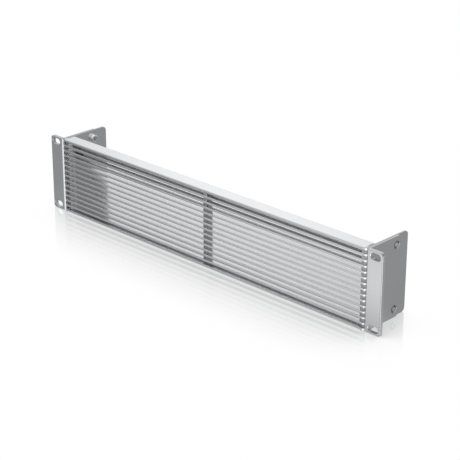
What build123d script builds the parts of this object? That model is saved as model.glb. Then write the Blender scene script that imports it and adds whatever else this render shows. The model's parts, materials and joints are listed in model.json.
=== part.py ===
from build123d import *
import os

# A vented 19-inch rack panel, two rack units high, that stands on its lower edge.
# X runs to the right, Y runs to the back and Z runs up from the surface it stands on.
# The origin lies under the middle of the panel, half way between its front and its back.

# Overall sizes, in millimetres
panel_width = 482.6
panel_height = 87.4
panel_depth = 63.5

# Slotted front panel: deep bars in front, thinner flanges, lips and side walls behind
bar_depth = 5.7
sheet = 2.0
front_edge_radius = 1.0
side_bend_radius = 3.0
flange_depth = 16.5
lip_height = 11.0
lip_bend_radius = 2.0
wall_corner_radius = 4.5

# Horizontal vent slots, which run on round the bends at both ends
slot_count = 14
slot_height = 3.7
edge_bar = 2.56
slot_run_back = 1.0

# Ear brackets, each an angle of a thick ear and a thinner side leg
ear_reach = 17.8
ear_thickness = 4.0
ear_corner_radius = 3.0
ear_edge_chamfer = 0.4
leg_thickness = 2.0
leg_depth = 49.0
leg_corner_radius = 2.0
bracket_outer_radius = 2.5
bracket_inner_radius = 1.0

# Rack slots in the ears, placed from the ear's outer end and from its top and bottom
rack_hole_inset_x = 8.75
rack_hole_inset_z = 5.6
rack_slot_length = 12.0
rack_slot_width = 7.0

# Countersunk screws, placed from the leg's rear edge and from its top and bottom
screw_inset_y = 5.2
screw_inset_z = 9.2
screw_diameter = 4.0
screw_length = 9.2
screw_head_diameter = 8.0
screw_head_height = 2.0
screw_head_sink = 0.1
screw_point = 0.6
countersink_clearance = 0.2
screw_hole_clearance = 0.25
recess_length = 4.4
recess_width = 0.9
recess_depth = 1.2
recess_turn = 45.0

# Clinch nuts pressed into the side walls from inside
nut_diameter = 8.0
nut_height = 4.6
nut_shank_diameter = 5.6
nut_shank_length = 1.4
nut_shank_clearance = 0.1
nut_bore_clearance = 0.1
nut_edge = 0.5

# Angles behind the two ends of the slotted face
corner_strip = 1.5
corner_front_leg = 8.1
corner_radius = 1.6
corner_end_clearance = 0.3

# Folded strip behind the middle of the slotted face
stiffener_strip = 1.5
stiffener_front_leg = 5.0
stiffener_radius = 1.6
stiffener_centre = 0.0

# How far cutters reach past what they cut
overrun = 1.0

# Places worked out from the sizes above
front_y = -panel_depth / 2
half_panel = panel_width / 2
leg_outside = half_panel - ear_reach
half_body = leg_outside - leg_thickness
wall_inside = half_body - sheet
bars_rear = front_y + bar_depth
lip_front = front_y + flange_depth - sheet
slot_pitch = (panel_height - 2 * edge_bar - slot_height) / (slot_count - 1)
screw_y = front_y + leg_depth - screw_inset_y
screw_levels = {"bottom": screw_inset_z, "top": panel_height - screw_inset_z}


def along_x(shape, x):
    # Stands a profile sketched in YZ on end, so that its own Z runs along X from this place
    return Plane.YZ.offset(x) * shape


def round_corner(face, place, radius):
    # Rounds the one corner of a flat profile that lies at this place
    corner = face.vertices().sort_by_distance((*place, 0))[0]
    return fillet(corner, radius)


def channel_section():
    # The deep bars, the two flanges and their rear lips, seen from the end
    rear = front_y + flange_depth
    top = panel_height
    section = make_face(
        Polyline(
            (front_y, 0),
            (rear, 0),
            (rear, lip_height),
            (lip_front, lip_height),
            (lip_front, sheet),
            (bars_rear, sheet),
            (bars_rear, top - sheet),
            (lip_front, top - sheet),
            (lip_front, top - lip_height),
            (rear, top - lip_height),
            (rear, top),
            (front_y, top),
            close=True,
        )
    )
    for level in (0, top):
        section = round_corner(section, (front_y, level), front_edge_radius)
        section = round_corner(section, (rear, level), lip_bend_radius)
    return section


def side_wall_right():
    # The wall that turns back from the bars through a rounded bend
    start = half_body - side_bend_radius - overrun
    rear = front_y + panel_depth
    plan = make_face(
        Polyline(
            (start, front_y),
            (half_body, front_y),
            (half_body, rear),
            (wall_inside, rear),
            (wall_inside, bars_rear),
            (start, bars_rear),
            close=True,
        )
    )
    plan = round_corner(plan, (half_body, front_y), side_bend_radius)
    wall = extrude(plan, amount=panel_height)
    rear_edges = wall.edges().filter_by(Axis.X).group_by(Axis.Y)[-1]
    wall = fillet(rear_edges, wall_corner_radius)
    hole = Cylinder(nut_shank_diameter / 2 + nut_shank_clearance, sheet + 2 * overrun)
    for level in screw_levels.values():
        wall -= Pos(half_body - sheet / 2, screw_y, level) * Rot(0, 90, 0) * hole
    return wall


def front_panel():
    length = panel_width - 2 * (ear_reach + leg_thickness + side_bend_radius)
    channel = extrude(along_x(channel_section(), -length / 2), amount=length)
    wall = side_wall_right()
    panel = channel + wall + mirror(wall, Plane.YZ)
    cutter = Box(
        2 * (half_body + overrun),
        overrun + bar_depth + slot_run_back,
        slot_height,
        align=(Align.CENTER, Align.MIN, Align.CENTER),
    )
    first = edge_bar + slot_height / 2
    levels = [first + slot_pitch * index for index in range(slot_count)]
    return panel - [Pos(0, front_y - overrun, level) * cutter for level in levels]


def screw_place(level):
    # Local Z points out of the right-hand bracket's face, along X
    return Pos(leg_outside, screw_y, level) * Rot(0, 90, 0)


def countersink(level):
    # Cone and clearance hole through the bracket's side leg
    mouth = screw_head_diameter / 2 + countersink_clearance
    hole = screw_diameter / 2 + screw_hole_clearance
    cone_depth = mouth - hole
    cone = Pos(0, 0, -cone_depth / 2) * Cone(hole, mouth, cone_depth)
    bore = Pos(0, 0, -leg_thickness / 2) * Cylinder(hole, leg_thickness + 2 * overrun)
    return screw_place(level) * (cone + bore)


def ear_bracket_right():
    # Angle profile seen from above, extruded over the whole height
    ear_rear = front_y + ear_thickness
    leg_rear = front_y + leg_depth
    plan = make_face(
        Polyline(
            (half_body, front_y),
            (half_panel, front_y),
            (half_panel, ear_rear),
            (leg_outside, ear_rear),
            (leg_outside, leg_rear),
            (half_body, leg_rear),
            close=True,
        )
    )
    plan = round_corner(plan, (half_body, front_y), bracket_outer_radius)
    plan = round_corner(plan, (leg_outside, ear_rear), bracket_inner_radius)
    bracket = extrude(plan, amount=panel_height)
    ear_corners = bracket.edges().filter_by(Axis.Y).group_by(Axis.X)[-1]
    bracket = fillet(ear_corners, ear_corner_radius)
    leg_corners = bracket.edges().filter_by(Axis.X).group_by(Axis.Y)[-1]
    bracket = fillet(leg_corners, leg_corner_radius)
    slot = extrude(SlotOverall(rack_slot_length, rack_slot_width), amount=ear_thickness + overrun, both=True)
    for level in (rack_hole_inset_z, panel_height - rack_hole_inset_z):
        bracket -= Pos(half_panel - rack_hole_inset_x, front_y, level) * Rot(90, 0, 0) * slot
    for level in screw_levels.values():
        bracket -= countersink(level)
    front_face = bracket.faces().filter_by(Axis.Y).sort_by(Axis.Y)[0]
    return chamfer(front_face.edges(), ear_edge_chamfer)


def corner_angle_right():
    # Small angle that backs the ends of the bars and lies along the side wall
    middle = corner_strip / 2
    plan = FilletPolyline(
        (wall_inside - corner_front_leg, bars_rear + middle),
        (wall_inside - middle, bars_rear + middle),
        (wall_inside - middle, lip_front),
        radius=corner_radius - middle,
    )
    ends = sheet + corner_end_clearance
    angle = extrude(trace(plan, line_width=corner_strip), amount=panel_height - 2 * ends)
    return Pos(0, 0, ends) * angle


def centre_stiffener():
    # Folded strip from flange to flange: it touches the bars, and its web runs back to the lips
    middle = stiffener_strip / 2
    half_leg = stiffener_front_leg / 2
    web = stiffener_centre + half_leg - middle
    plan = FilletPolyline(
        (stiffener_centre - half_leg, bars_rear + middle),
        (web, bars_rear + middle),
        (web, lip_front),
        radius=stiffener_radius - middle,
    )
    strip = extrude(trace(plan, line_width=stiffener_strip), amount=panel_height - 2 * sheet)
    return Pos(0, 0, sheet) * strip


def screw_right(level):
    # Countersunk screw with a cross recess, its head just under the bracket's face
    head_radius = screw_head_diameter / 2
    shank_radius = screw_diameter / 2
    outline = Polyline(
        (0, 0),
        (head_radius, 0),
        (shank_radius, -screw_head_height),
        (shank_radius, screw_point - screw_length),
        (shank_radius - screw_point, -screw_length),
        (0, -screw_length),
        close=True,
    )
    body = revolve(Plane.XZ * make_face(outline), Axis.Z)
    bar = Box(recess_length, recess_width, 2 * recess_depth)
    body -= bar
    body -= Rot(0, 0, 90) * bar
    return screw_place(level) * Pos(0, 0, -screw_head_sink) * Rot(0, 0, recess_turn) * body


def clinch_nut_right(level):
    # Round nut with its shank pressed into the wall and its barrel standing inwards
    bore = screw_diameter / 2 + nut_bore_clearance
    outline = Polyline(
        (bore, nut_shank_length),
        (nut_shank_diameter / 2, nut_shank_length),
        (nut_shank_diameter / 2, 0),
        (nut_diameter / 2, 0),
        (nut_diameter / 2, nut_edge - nut_height),
        (nut_diameter / 2 - nut_edge, -nut_height),
        (bore, -nut_height),
        close=True,
    )
    nut = revolve(Plane.XZ * make_face(outline), Axis.Z)
    return Pos(wall_inside, screw_y, level) * Rot(0, 90, 0) * nut


def both_sides(name, right):
    # A piece of the right-hand end and its mirror image at the left-hand end
    return {name + "_right": right, name + "_left": mirror(right, Plane.YZ)}


def build_parts():
    parts = {"front_panel": front_panel(), "centre_stiffener": centre_stiffener()}
    parts.update(both_sides("ear_bracket", ear_bracket_right()))
    parts.update(both_sides("corner_angle", corner_angle_right()))
    for place, level in screw_levels.items():
        parts.update(both_sides("screw_" + place, screw_right(level)))
        parts.update(both_sides("clinch_nut_" + place, clinch_nut_right(level)))
    return parts


def main():
    os.makedirs("parts", exist_ok=True)
    for name, shape in build_parts().items():
        export_step(shape, f"parts/{name}.step")


main()
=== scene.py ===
# %% [markdown]
# A vented rack panel, dressed and lit. Fifteen deep bars and fourteen long slots make its face. A flange,
# two lips and a wall at each end stand behind them, and an ear bracket is screwed to each wall. These
# solids come from the frame and are never moved, so this script adds finishes, light and small details.
# Places on them could be typed in, but they would go wrong when the panel changes, so they are read from
# the frame wherever it has them.

import json
import math

import bpy
from mathutils import Matrix, Vector


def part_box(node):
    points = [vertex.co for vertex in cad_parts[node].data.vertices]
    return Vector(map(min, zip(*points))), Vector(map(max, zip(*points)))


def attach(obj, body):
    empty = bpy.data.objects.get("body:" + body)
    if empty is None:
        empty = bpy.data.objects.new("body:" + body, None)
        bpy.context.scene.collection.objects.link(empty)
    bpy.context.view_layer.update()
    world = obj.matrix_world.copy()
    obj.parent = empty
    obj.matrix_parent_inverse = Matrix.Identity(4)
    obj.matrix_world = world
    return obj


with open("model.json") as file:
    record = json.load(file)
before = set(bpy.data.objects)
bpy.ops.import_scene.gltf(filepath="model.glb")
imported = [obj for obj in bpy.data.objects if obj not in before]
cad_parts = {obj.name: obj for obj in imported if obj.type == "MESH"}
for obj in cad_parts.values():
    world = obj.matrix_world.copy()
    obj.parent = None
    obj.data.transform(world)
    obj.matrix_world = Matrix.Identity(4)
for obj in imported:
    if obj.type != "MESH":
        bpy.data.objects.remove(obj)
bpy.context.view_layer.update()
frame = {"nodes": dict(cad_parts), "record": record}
nodes = frame["nodes"]
mm = 0.001
print("nodes in the frame:", len(nodes))

# %% [markdown]
# The camera stands to the right of the panel and looks down on it. An empty to aim at would give nearly
# the same picture, but it would hide the small roll. The place, the turns and the lens were fitted to the
# straight edges of the panel in the photograph, so they are plain numbers here: a place in metres, three
# turns in degrees and a focal length in millimetres.

# %% Camera
camera_place = Vector((1.0469, -1.0744, 0.6673))
camera_azimuth = math.radians(43.947)
camera_elevation = math.radians(22.974)
camera_roll = math.radians(0.112)
camera_lens = 119.59

camera_data = bpy.data.cameras.new("camera")
camera_data.lens = camera_lens
camera_data.sensor_width = 36.0
camera_data.clip_end = 20.0
camera = bpy.data.objects.new("camera", camera_data)
camera.matrix_world = (
    Matrix.Translation(camera_place)
    @ Matrix.Rotation(camera_azimuth, 4, "Z")
    @ Matrix.Rotation(math.pi / 2 - camera_elevation, 4, "X")
    @ Matrix.Rotation(camera_roll, 4, "Z")
)
bpy.context.scene.collection.objects.link(camera)
bpy.context.scene.camera = camera
bpy.context.scene.view_settings.view_transform = "Standard"
print("camera stands at", tuple(round(value, 3) for value in camera_place))

# %% [markdown]
# Finishes and light are graphs of nodes. They could be wired link by link. A few helpers, which make a
# node and feed its inputs with a plain value or with another node's output, let each finish below read as
# a short recipe instead.


# %% Helpers for node graphs
def new_graph(owner):
    owner.use_nodes = True
    owner.node_tree.nodes.clear()
    return owner.node_tree


def feed(graph, value, socket):
    if isinstance(value, bpy.types.NodeSocket):
        graph.links.new(value, socket)
    else:
        socket.default_value = value


def build(graph, kind, **inputs):
    made = graph.nodes.new(kind)
    for name, value in inputs.items():
        feed(graph, value, made.inputs[name.replace("_", " ")])
    return made


def mix_shader(graph, share, first, second):
    made = graph.nodes.new("ShaderNodeMixShader")
    feed(graph, share, made.inputs[0])
    feed(graph, first.outputs[0], made.inputs[1])
    feed(graph, second.outputs[0], made.inputs[2])
    return made


print("node helpers ready")


# %% Helpers for sums in a graph
def calculate(graph, operation, first, second=0.0):
    made = graph.nodes.new("ShaderNodeMath")
    made.operation = operation
    feed(graph, first, made.inputs[0])
    feed(graph, second, made.inputs[1])
    return made.outputs[0]


def product(graph, *values):
    total = values[0]
    for value in values[1:]:
        total = calculate(graph, "MULTIPLY", total, value)
    return total


def scale_vector(graph, vector, factor):
    made = graph.nodes.new("ShaderNodeVectorMath")
    made.operation = "SCALE"
    feed(graph, vector, made.inputs[0])
    feed(graph, factor, made.inputs["Scale"])
    return made.outputs["Vector"]


def ramp(graph, value, low, high, smooth=False):
    # Each of low and high is a pair: a value that comes in, and what it turns into
    made = build(graph, "ShaderNodeMapRange", Value=value)
    made.interpolation_type = "SMOOTHSTEP" if smooth else "LINEAR"
    made.inputs["From Min"].default_value = low[0]
    made.inputs["From Max"].default_value = high[0]
    made.inputs["To Min"].default_value = low[1]
    made.inputs["To Max"].default_value = high[1]
    return made.outputs["Result"]


print("helpers for sums ready")

# %% [markdown]
# Satin metal shows the room as a soft blur, so the room matters as much as the finish. A picture of a
# studio could wrap the scene, but ramps by direction need no file and are easy to tune. The camera sees
# plain white. Every other ray sees a room that is brightest behind the panel, on the left, where the top
# flange and the tops of the bars mirror it. It is dim on the right, which the inner side of the left wall
# mirrors. Each pair below is a part of the direction, from -1 to 1, and the strength that it gives.

# %% Upper room
room = bpy.data.worlds.new("room")
bpy.context.scene.world = room
graph = new_graph(room)
direction = build(graph, "ShaderNodeTexCoord").outputs["Generated"]
way = build(graph, "ShaderNodeSeparateXYZ", Vector=direction).outputs
behind = ramp(graph, way["Y"], (-0.35, 0.75), (0.30, 1.20), smooth=True)
left_corner = ramp(graph, way["X"], (-0.82, 0.45), (-0.66, 1.0), smooth=True)
middle_dip = ramp(graph, way["X"], (-0.62, 1.0), (-0.50, 0.75), smooth=True)
right_side = ramp(graph, way["X"], (-0.3, 1.0), (0.4, 0.45), smooth=True)
horizon = ramp(graph, way["Z"], (-0.02, 0.0), (0.02, 1.0))
upper = product(graph, behind, left_corner, middle_dip, right_side, horizon)
print("upper room made with", len(graph.nodes), "nodes")

# %% [markdown]
# Steeply below the floor, towards the front right, there is one bright window. Seen by the camera, only
# the upright bends mirror it, so each of them gets its narrow white line and the flat faces stay calm. A
# lamp could do the same, but a window in the room needs no place of its own, only a direction.

# %% Window below
window_way = (0.707, -0.707, 0.0)
toward = graph.nodes.new("ShaderNodeVectorMath")
toward.operation = "DOT_PRODUCT"
feed(graph, direction, toward.inputs[0])
feed(graph, window_way, toward.inputs[1])
wide = ramp(graph, toward.outputs["Value"], (0.45, 0.0), (0.75, 1.1), smooth=True)
steep = ramp(graph, way["Z"], (-0.38, 1.0), (-0.30, 0.0))
window = product(graph, wide, steep)
print("upper room and window made with", len(graph.nodes), "nodes")

# %% Room
white = (1, 1, 1, 1)
mirrored_room = build(
    graph, "ShaderNodeBackground", Color=white, Strength=calculate(graph, "ADD", upper, window)
)
plain_room = build(graph, "ShaderNodeBackground", Color=white, Strength=1.0)
seen = build(graph, "ShaderNodeLightPath").outputs["Is Camera Ray"]
blend = mix_shader(graph, seen, mirrored_room, plain_room)
build(graph, "ShaderNodeOutputWorld", Surface=blend.outputs[0])
print("room made with", len(graph.nodes), "nodes")

# %% [markdown]
# One large lamp hangs above the panel, a little in front of it. A brighter room would do too, but it
# would also show in the metal. The lamp gives the screws and nuts, which are less like mirrors than the
# sheet, their light. No mirrored ray sees it, so it leaves no white patch on the flange when the panel is
# looked at from above.

# %% Overhead lamp
lamp_place = Vector((0.1, -0.2, 1.4))
lamp_side = 0.8
lamp_power = 12.0

lamp_data = bpy.data.lights.new("overhead", "AREA")
lamp_data.shape = "RECTANGLE"
lamp_data.size = lamp_side
lamp_data.size_y = lamp_side
lamp_data.energy = lamp_power
lamp = bpy.data.objects.new("overhead", lamp_data)
lamp_turn = (-lamp_place).to_track_quat("-Z", "Y").to_matrix().to_4x4()
lamp.matrix_world = Matrix.Translation(lamp_place) @ lamp_turn
lamp.visible_camera = False
lamp.visible_glossy = False
bpy.context.scene.collection.objects.link(lamp)
print("lamp hangs at", tuple(lamp_place))

# %% [markdown]
# The panel stands on a white floor that is a little glossy. Lit white paint could make the floor, but its
# white would change with the light. A glow of strength 1 is exactly white, so the floor glows. Near the
# panel, where it is less open to the room, it darkens softly and mirrors the panel. Farther off it goes
# over into the white room without an edge.

# %% Floor
floor_reach = 4.0
floor_corners = [(-1, -1), (1, -1), (1, 1), (-1, 1)]
floor_points = [(x * floor_reach, y * floor_reach, 0) for x, y in floor_corners]
floor_mesh = bpy.data.meshes.new("floor")
floor_mesh.from_pydata(floor_points, [], [(0, 1, 2, 3)])
floor = bpy.data.objects.new("floor", floor_mesh)
bpy.context.scene.collection.objects.link(floor)
print("floor reaches", floor_reach, "m each way")

# %% Floor as the camera sees it
shade_reach = 0.12
floor_finish = bpy.data.materials.new("white_floor")
graph = new_graph(floor_finish)
openness = build(graph, "ShaderNodeAmbientOcclusion", Distance=shade_reach)
openness.samples = 16
shade = ramp(graph, openness.outputs["AO"], (0.3, 0.90), (0.80, 1.0))
mirror_share = ramp(graph, openness.outputs["AO"], (0.5, 0.42), (0.91, 0.0))
glow = build(graph, "ShaderNodeEmission", Color=white, Strength=shade)
gloss = build(graph, "ShaderNodeBsdfGlossy", Color=white, Roughness=0.09)
surface = mix_shader(graph, mirror_share, glow, gloss)
print("the camera's floor made with", len(graph.nodes), "nodes")

# %% [markdown]
# The metal mirrors a floor that is brighter to the right and to the front, which gives the face its slow
# change from grey to silver. A lamp near the floor could do that, but its outline would show in the
# metal. For every ray but the camera's the floor is clear and only adds its glow, so that the metal still
# sees the window below it.

# %% Floor as the metal sees it
least_glow = 0.36
place = build(graph, "ShaderNodeTexCoord").outputs["Object"]
spot = build(graph, "ShaderNodeSeparateXYZ", Vector=place).outputs
across = ramp(graph, spot["X"], (-0.30, 0.0), (0.30, 0.72))
front = ramp(graph, spot["Y"], (-0.14, 0.97), (0.03, 0.0), smooth=True)
lift = calculate(graph, "ADD", product(graph, across, front), least_glow)
soft_glow = build(graph, "ShaderNodeEmission", Color=white, Strength=lift)
clear = graph.nodes.new("ShaderNodeBsdfTransparent")
mirrored_floor = graph.nodes.new("ShaderNodeAddShader")
feed(graph, soft_glow.outputs[0], mirrored_floor.inputs[0])
feed(graph, clear.outputs[0], mirrored_floor.inputs[1])
seen = build(graph, "ShaderNodeLightPath").outputs["Is Camera Ray"]
choice = mix_shader(graph, seen, mirrored_floor, surface)
build(graph, "ShaderNodeOutputMaterial", Surface=choice.outputs[0])
floor_mesh.materials.append(floor_finish)
print("floor finish made with", len(graph.nodes), "nodes")

# %% [markdown]
# Satin silver is metal with a fine, even grain that blurs what it mirrors. Pictures of metal could be
# laid over it, but noise needs no picture and has no seam. One noise drives the grain through a bump, a
# slower one varies roughness and tone, and a Bevel node rounds the edges in the shading alone. Each piece
# may add tones of its own, by place. A tone is a number that the colour is multiplied by.


# %% Helpers for a place on the metal
def metal_spot(graph):
    place = build(graph, "ShaderNodeTexCoord").outputs["Object"]
    axes = build(graph, "ShaderNodeSeparateXYZ", Vector=place).outputs
    shape = build(graph, "ShaderNodeNewGeometry").outputs["Normal"]
    slope = build(graph, "ShaderNodeSeparateXYZ", Vector=shape).outputs
    return {
        "place": place,
        "y": axes["Y"],
        "z": axes["Z"],
        "outward": calculate(graph, "ABSOLUTE", axes["X"]),
        "upward": slope["Z"],
        "sideways": calculate(graph, "ABSOLUTE", slope["X"]),
    }


def between(graph, value, start, end, soft):
    # 1 from start to end, and 0 outside
    rise = ramp(graph, value, (start - soft, 0.0), (start, 1.0))
    fall = ramp(graph, value, (end, 1.0), (end + soft, 0.0))
    return product(graph, rise, fall)


def toned(graph, share, tone):
    # 1 where the share is 0, and the tone where the share is 1
    return ramp(graph, share, (0.0, 1.0), (1.0, tone))


print("helpers for places ready")

# %% Satin metal
grain_scale = 2600.0
cloud_scale = 18.0
rough_change = 0.03


def satin_metal(name, colour, roughness, edge, tones, metallic=1.0):
    # The share of metal is a number, or a function that gives it by place
    finish = bpy.data.materials.new(name)
    graph = new_graph(finish)
    spot = metal_spot(graph)
    grain = build(graph, "ShaderNodeTexNoise", Vector=spot["place"], Scale=grain_scale, Detail=3.0)
    cloud = build(graph, "ShaderNodeTexNoise", Vector=spot["place"], Scale=cloud_scale, Detail=2.0)
    slow = cloud.outputs["Fac"]
    rough = ramp(graph, slow, (0.0, roughness - rough_change), (1.0, roughness + rough_change))
    mottle = ramp(graph, slow, (0.2, 0.98), (0.8, 1.02))
    soft = build(graph, "ShaderNodeBevel", Radius=edge)
    soft.samples = 4
    bump = build(
        graph,
        "ShaderNodeBump",
        Strength=0.05,
        Distance=0.02 * mm,
        Height=grain.outputs["Fac"],
        Normal=soft.outputs["Normal"],
    )
    tone = product(graph, mottle, *[make(graph, spot) for make in tones])
    metal = build(
        graph,
        "ShaderNodeBsdfPrincipled",
        Base_Color=scale_vector(graph, colour, tone),
        Roughness=rough,
        Normal=bump.outputs["Normal"],
    )
    share = metallic(graph, spot) if callable(metallic) else metallic
    feed(graph, share, metal.inputs["Metallic"])
    build(graph, "ShaderNodeOutputMaterial", Surface=metal.outputs[0])
    return finish


print("satin metal recipe ready")

# %% [markdown]
# The tones were fitted to the photograph, and why the metal differs there is a guess. They could be
# painted on a map, but a rule by place stays sharp at any size. The upward faces at the walls, and beyond
# them, are darker. Inside the slots, below the two top ones and up to the bends, the bars get painted
# shade, where the bars shade each other. The floor of the channel behind the bars, low down, gets painted
# shade too, darker still.

# %% Tones of the panel
wall_thickness = 2.0 * mm


def corners(node):
    low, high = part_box(node)
    return Vector(low), Vector(high)


panel_low, panel_high = corners("front_panel")
front_y = panel_low.y
wall_inside = panel_high.x - wall_thickness


# Upward faces from just inside the walls outward are made darker
def darker_wall_tops(graph, spot):
    wall = ramp(graph, spot["outward"], (wall_inside - 1.3 * mm, 0.0), (wall_inside - 0.9 * mm, 1.0))
    up = ramp(graph, spot["upward"], (0.2, 0.0), (0.9, 1.0))
    return toned(graph, product(graph, wall, up), 0.72)


# Painted shade on the bars inside the slots, where the bars shade each other
def painted_slot_shade(graph, spot):
    depth = between(graph, spot["y"], front_y + 1.15 * mm, front_y + 5.55 * mm, 0.8 * mm)
    under = ramp(graph, spot["z"], (74.5 * mm, 1.0), (74.7 * mm, 0.0))
    inside = ramp(graph, spot["outward"], (213.0 * mm, 1.0), (216.5 * mm, 0.0))
    return toned(graph, product(graph, depth, under, inside), 0.75)


# Painted shade on the floor of the channel behind the bars, low down
def painted_channel_shade(graph, spot):
    low = ramp(graph, spot["z"], (7.8 * mm, 1.0), (8.4 * mm, 0.0))
    behind = ramp(graph, spot["y"], (front_y + 1.55 * mm, 0.0), (front_y + 2.15 * mm, 1.0))
    middle = ramp(graph, spot["outward"], (215.0 * mm, 1.0), (215.4 * mm, 0.0))
    return toned(graph, product(graph, low, behind, middle), 0.65)


print("walls start at x =", round(wall_inside, 4), "m")

# %% [markdown]
# Each ear has a fine chamfer round its front, which gets painted shade at the ear's end, next to a
# painted highlight on the narrow end face. A lamp of its own could light that face, but it would light
# the screws too. Both get a tone by their distance from the end instead. The end's tone is strong,
# because the room is dim on that side, and it takes the colour of that narrow face above 1. The two
# corner angles get painted light, which makes them paler than the stiffener, though it has the same
# finish.

# %% Tones of the ears and the angles
ear_end_x = corners("ear_bracket_right")[1].x


# Painted shade on the chamfer at the ear's end, and a painted highlight on the end face
def painted_ear_end_shading(graph, spot):
    outward = spot["outward"]
    level = ramp(graph, spot["upward"], (0.1, 1.0), (0.4, 0.0))
    edge = ramp(graph, outward, (ear_end_x - 0.8 * mm, 0.0), (ear_end_x - 0.6 * mm, 1.0), smooth=True)
    chamfer = toned(graph, product(graph, level, edge), 0.38)
    end = ramp(graph, outward, (ear_end_x - 0.2 * mm, 1.0), (ear_end_x - 0.05 * mm, 3.0), smooth=True)
    return product(graph, chamfer, end)


# Painted light on the corner angles, which makes them paler than the stiffener
def painted_angle_light(graph, spot):
    ends = ramp(graph, spot["outward"], (100.0 * mm, 0.0), (101.0 * mm, 1.0))
    return toned(graph, ends, 1.28)


print("ears end at x =", round(ear_end_x, 4), "m")

# %% [markdown]
# The screws are countersunk. Each shows a pale middle round its cross recess, a ring of painted shade
# where its head sinks into the bracket, and a painted highlight, a pale crescent low and to the rear,
# where the rim would catch the light. Thin rings could be laid on the metal, but they would stand out of
# it. Drawn by the distance from the screw's axis, the ring lies on the screw and the bracket alike. The
# screw's tail stands out of the nut inside, with painted shade round its thread.

# %% Distances from a screw
screw_low, screw_high = corners("screw_top_right")
screw_axis = (screw_low + screw_high) / 2
panel_middle = (panel_low.z + panel_high.z) / 2
half_gap = screw_axis.z - panel_middle


def from_screw(graph, spot):
    # How far a place lies above, behind and away from the axis of the nearest screw
    height = calculate(graph, "SUBTRACT", spot["z"], panel_middle)
    rise = calculate(graph, "SUBTRACT", calculate(graph, "ABSOLUTE", height), half_gap)
    back = calculate(graph, "SUBTRACT", spot["y"], screw_axis.y)
    square = calculate(graph, "ADD", product(graph, rise, rise), product(graph, back, back))
    return {
        "above": product(graph, calculate(graph, "SIGN", height), rise),
        "behind": back,
        "away": calculate(graph, "SQRT", square),
    }


print("screw axis at y =", round(screw_axis.y, 4), "m, z =", round(screw_axis.z, 4), "m")


# %% Tones of the screws
def painted_rim_highlight(graph, screw):
    # 1 on the part of the head's rim that lies low and to the rear, where the highlight is painted
    low = product(graph, screw["above"], -0.7)
    rear = product(graph, screw["behind"], 0.7)
    along = ramp(graph, calculate(graph, "ADD", rear, low), (2.3 * mm, 0.0), (2.9 * mm, 1.0))
    rim = ramp(graph, screw["away"], (2.8 * mm, 0.0), (3.2 * mm, 1.0))
    return product(graph, along, rim)


def painted_screw_shading(graph, spot):
    screw = from_screw(graph, spot)
    core = ramp(graph, screw["away"], (1.4 * mm, 1.0), (2.1 * mm, 0.0), smooth=True)
    inner = ramp(graph, screw["away"], (1.6 * mm, 0.0), (2.3 * mm, 1.0), smooth=True)
    outer = ramp(graph, screw["away"], (4.1 * mm, 1.0), (4.4 * mm, 0.0))
    outside = ramp(graph, spot["outward"], (wall_inside + 1.7 * mm, 0.0), (wall_inside + 2.1 * mm, 1.0))
    glint = painted_rim_highlight(graph, screw)
    # Painted shade on the ring, less where the highlight is, and a painted highlight on the crescent
    ring_shade_share = product(graph, inner, outer, outside, toned(graph, glint, 0.0))
    ring = toned(graph, ring_shade_share, 0.3)
    crescent = toned(graph, product(graph, glint, outer, outside), 1.35)
    middle = toned(graph, product(graph, core, outside), 1.36)
    return product(graph, ring, crescent, middle)


def painted_tail_shade(graph, spot):
    # Painted shade on the tail's thread, inside the wall
    thread = ramp(graph, from_screw(graph, spot)["away"], (1.2 * mm, 0.0), (1.5 * mm, 1.0))
    inside = ramp(graph, spot["outward"], (wall_inside - 0.4 * mm, 1.0), (wall_inside, 0.0))
    return toned(graph, product(graph, thread, inside), 0.25)


print("tones of the screws ready")

# %% [markdown]
# The clinch nuts are taken to be zinc plated. Their turned barrels are pale and matt, and their flat ends
# are as shiny as the wall. Two finishes could be given by face, but the frame's mesh is never changed, so
# the share of metal follows the slope of the surface.


# %% Finishes for the CAD nodes
def shiny_ends(graph, spot):
    return ramp(graph, spot["sideways"], (0.3, 0.0), (0.7, 1.0))


silver = (0.70, 0.71, 0.72)
silver_rough = 0.18
bar_edge = 1.5 * mm
fine_edge = 0.25 * mm
small_edge = 0.1 * mm
panel_tones = [darker_wall_tops, painted_slot_shade, painted_channel_shade]
bracket_tones = [darker_wall_tops, painted_ear_end_shading, painted_screw_shading]
screw_tones = [painted_screw_shading, painted_tail_shade]
slot_finishes = {
    "panel": satin_metal("panel_silver", silver, silver_rough, bar_edge, panel_tones),
    "bracket": satin_metal("bracket_silver", silver, silver_rough, fine_edge, bracket_tones),
    "stiffener": satin_metal("stiffener_silver", (0.75, 0.76, 0.77), 0.3, fine_edge, [painted_angle_light]),
    "screw": satin_metal("screw_steel", (0.72, 0.72, 0.73), 0.35, small_edge, screw_tones, metallic=0.2),
    "nut": satin_metal("nut_steel", (0.92, 0.92, 0.93), 0.3, small_edge, [], metallic=shiny_ends),
}
for entry in frame["record"]["subparts"]:
    mesh = nodes[entry["node"]].data
    mesh.materials.clear()
    mesh.materials.append(slot_finishes[entry["material_slot"]])
print("finishes given to", len(nodes), "nodes")

# %% [markdown]
# Two details repeat by a rule: the ridges of the thread on each screw's tail, and the round marks that
# spot welding would leave on the angles and the stiffener. Each ring could be modelled by hand, but a
# change of pitch would then mean moving them all. Both details are rows of small rings, so one Geometry
# Nodes tree makes both. It puts a row of rings at every point that it is given.

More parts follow.
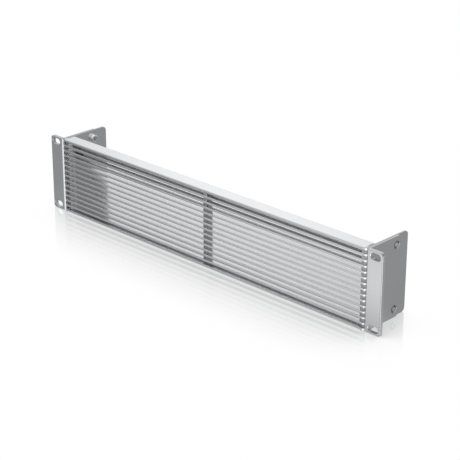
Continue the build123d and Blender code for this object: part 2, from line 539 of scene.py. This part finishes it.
# %% Start of the tree
row_inputs = {
    "Geometry": "NodeSocketGeometry",
    "Ring Radius": "NodeSocketFloat",
    "Wire Radius": "NodeSocketFloat",
    "Count": "NodeSocketInt",
    "Step": "NodeSocketVector",
    "Turn": "NodeSocketVector",
    "Finish": "NodeSocketMaterial",
}
tree = bpy.data.node_groups.new("rows_of_rings", "GeometryNodeTree")
for title, kind in row_inputs.items():
    tree.interface.new_socket(title, in_out="INPUT", socket_type=kind)
tree.interface.new_socket("Geometry", in_out="OUTPUT", socket_type="NodeSocketGeometry")
given = tree.nodes.new("NodeGroupInput").outputs
print("tree has", len(row_inputs), "inputs")

# %% One ring
ring_sides = 24
wire_sides = 6
circle = build(
    tree, "GeometryNodeCurvePrimitiveCircle", Resolution=ring_sides, Radius=given["Ring Radius"]
)
wire = build(
    tree, "GeometryNodeCurvePrimitiveCircle", Resolution=wire_sides, Radius=given["Wire Radius"]
)
ring = build(
    tree,
    "GeometryNodeCurveToMesh",
    Curve=circle.outputs["Curve"],
    Profile_Curve=wire.outputs["Curve"],
)
print("a ring has", ring_sides * wire_sides, "faces")

# %% Row of rings at every point
last = calculate(tree, "SUBTRACT", given["Count"], 1.0)
first_place = scale_vector(tree, given["Step"], calculate(tree, "MULTIPLY", last, -0.5))
line = build(
    tree,
    "GeometryNodeMeshLine",
    Count=given["Count"],
    Start_Location=first_place,
    Offset=given["Step"],
)
row = build(
    tree,
    "GeometryNodeInstanceOnPoints",
    Points=line.outputs["Mesh"],
    Instance=ring.outputs["Mesh"],
    Rotation=given["Turn"],
)
rows = build(
    tree,
    "GeometryNodeInstanceOnPoints",
    Points=given["Geometry"],
    Instance=row.outputs["Instances"],
)
real = build(tree, "GeometryNodeRealizeInstances", Geometry=rows.outputs["Instances"])
smooth = build(tree, "GeometryNodeSetShadeSmooth", Geometry=real.outputs["Geometry"])
finished = build(
    tree, "GeometryNodeSetMaterial", Geometry=smooth.outputs[0], Material=given["Finish"]
)
build(tree, "NodeGroupOutput", Geometry=finished.outputs["Geometry"])
print("tree made with", len(tree.nodes), "nodes")


# %% Helper that grows a piece from points
def grow(name, points, values):
    mesh = bpy.data.meshes.new(name + "_points")
    mesh.from_pydata([tuple(point) for point in points], [], [])
    piece = bpy.data.objects.new(name, mesh)
    bpy.context.scene.collection.objects.link(piece)
    modifier = piece.modifiers.new("rows", "NODES")
    modifier.node_group = tree
    for item in tree.interface.items_tree:
        if item.in_out == "INPUT" and item.name in values:
            modifier[item.identifier] = values[item.name]
    depsgraph = bpy.context.evaluated_depsgraph_get()
    grown = bpy.data.meshes.new_from_object(piece.evaluated_get(depsgraph))
    piece.modifiers.remove(modifier)
    piece.data = grown
    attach(piece, "root")
    print(name, "has", len(grown.polygons), "faces")


# %% [markdown]
# The thread shows only where the screw's tail leaves the nut, so two ridges on each tail are enough. The
# real ridge is one helix, and it could be a curve along one. At this size closed rings look the same and
# need fewer faces.

# %% Screw threads
nut_end_x = corners("clinch_nut_top_right")[0].x
thread_shift = 0.1 * mm
thread_points = []
for name in nodes:
    if not name.startswith("screw_"):
        continue
    low, high = corners(name)
    centre = (low + high) / 2
    side = 1 if centre.x > 0 else -1
    tail_end = low.x if side > 0 else high.x
    x = (tail_end + side * nut_end_x) / 2 - side * thread_shift
    thread_points.append((x, centre.y, centre.z))
thread = {
    "Ring Radius": 1.88 * mm,
    "Wire Radius": 0.16 * mm,
    "Count": 2,
    "Step": (0.35 * mm, 0.0, 0.0),
    "Turn": (0.0, math.pi / 2, 0.0),
    "Finish": slot_finishes["screw"],
}
grow("screw_threads", thread_points, thread)

# %% [markdown]
# The photograph doesn't show what holds the two angles and the stiffener to the bars, so spot welds are a
# guess. Each weld would leave a round, barely raised rim. A bump in the finish could draw it, but it
# would be missing from the mesh, so the rims are rings too. They sit on the rear of each strip's flat
# leg, on every third bar, and only show from behind.

# %% Weld marks
strip_thickness = 1.5 * mm
weld_points = []
for name in ("corner_angle_left", "corner_angle_right", "centre_stiffener"):
    low, high = corners(name)
    flat = (high.x - low.x - strip_thickness) / 2
    x = high.x - flat if name.endswith("left") else low.x + flat
    weld_points.append((x, low.y + strip_thickness, (low.z + high.z) / 2))
weld = {
    "Ring Radius": 1.2 * mm,
    "Wire Radius": 0.12 * mm,
    "Count": 5,
    "Step": (0.0, 0.0, 18.13 * mm),
    "Turn": (math.pi / 2, 0.0, 0.0),
    "Finish": slot_finishes["stiffener"],
}
grow("weld_marks", weld_points, weld)
